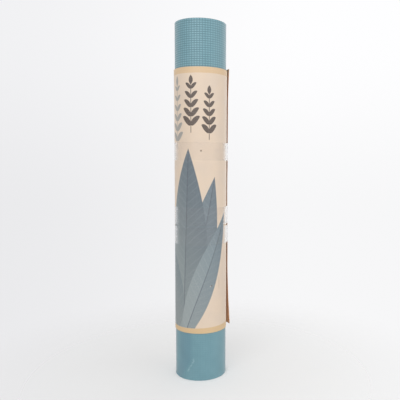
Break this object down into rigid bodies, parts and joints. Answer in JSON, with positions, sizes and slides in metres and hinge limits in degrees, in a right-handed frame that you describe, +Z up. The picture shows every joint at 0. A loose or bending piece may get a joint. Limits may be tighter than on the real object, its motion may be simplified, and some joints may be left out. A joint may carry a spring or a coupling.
{
  "type": "exercise mat",
  "caption": "Rolled foam exercise mat standing on its end, wrapped in a printed card sleeve that slides along the roll and is held shut by clear tape bands.",
  "frame": {"origin": "on the roll's axis, at the level of its foot", "axes": "+Z up along the roll's axis, -Y towards the front of the sleeve, +X towards the sleeve's free end"},
  "size_m": [0.098, 0.0914, 0.61],
  "materials": {
    "mat_foam": "matte",
    "sleeve_card": "matte",
    "tape_film": "gloss"
  },
  "bodies": {
    "roll": {"mat": "mat_foam"},
    "wrap": {"sleeve": "sleeve_card", "tape_upper": "tape_film", "tape_middle": "tape_film", "tape_lower": "tape_film"}
  },
  "joints": [
    {"name": "sleeve_slide", "type": "slide", "parent": "roll", "child": "wrap", "axis": [0, 0, 1], "range_m": [-0.08, 0.54]}
  ]
}
